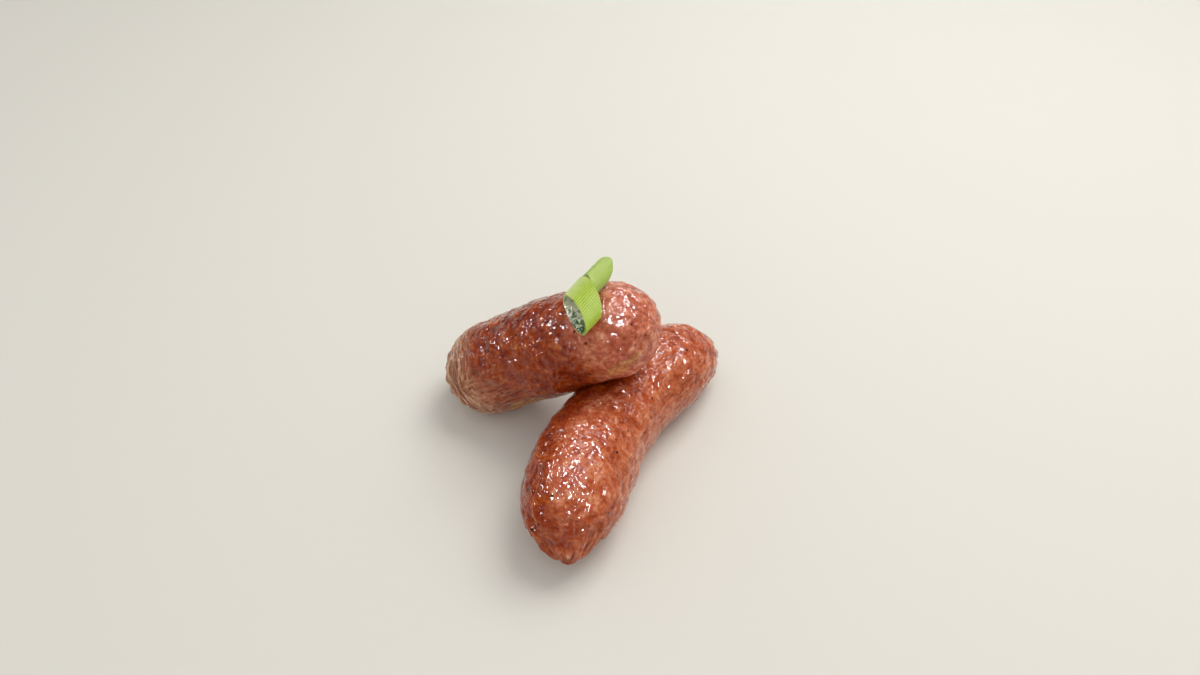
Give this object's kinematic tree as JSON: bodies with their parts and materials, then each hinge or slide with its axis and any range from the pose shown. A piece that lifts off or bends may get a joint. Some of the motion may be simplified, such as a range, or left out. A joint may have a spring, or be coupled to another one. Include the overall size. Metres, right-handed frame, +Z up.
{
  "type": "pair of grilled sausage links",
  "caption": "Plump grilled sausage links with gathered, nubbed ends, one leaning across the other, topped with slant-cut rings of spring onion.",
  "frame": {"origin": "on the table, under the middle of the pair's bounding box", "axes": "+Z up from the table; -Y towards the viewer; the lower link runs from the low left front to the far right"},
  "size_m": [0.1005, 0.0931, 0.0708],
  "materials": {
    "lower_casing": "glossy grilled casing, pink-brown",
    "upper_casing": "glossy grilled casing, red-brown",
    "onion_leaf": "moist ribbed leaf",
    "onion_pale": "moist pale leaf"
  },
  "bodies": {
    "root": {"lower_link": "lower_casing", "upper_link": "upper_casing", "onion_front": "onion_leaf", "onion_back": "onion_pale"}
  },
  "joints": []
}
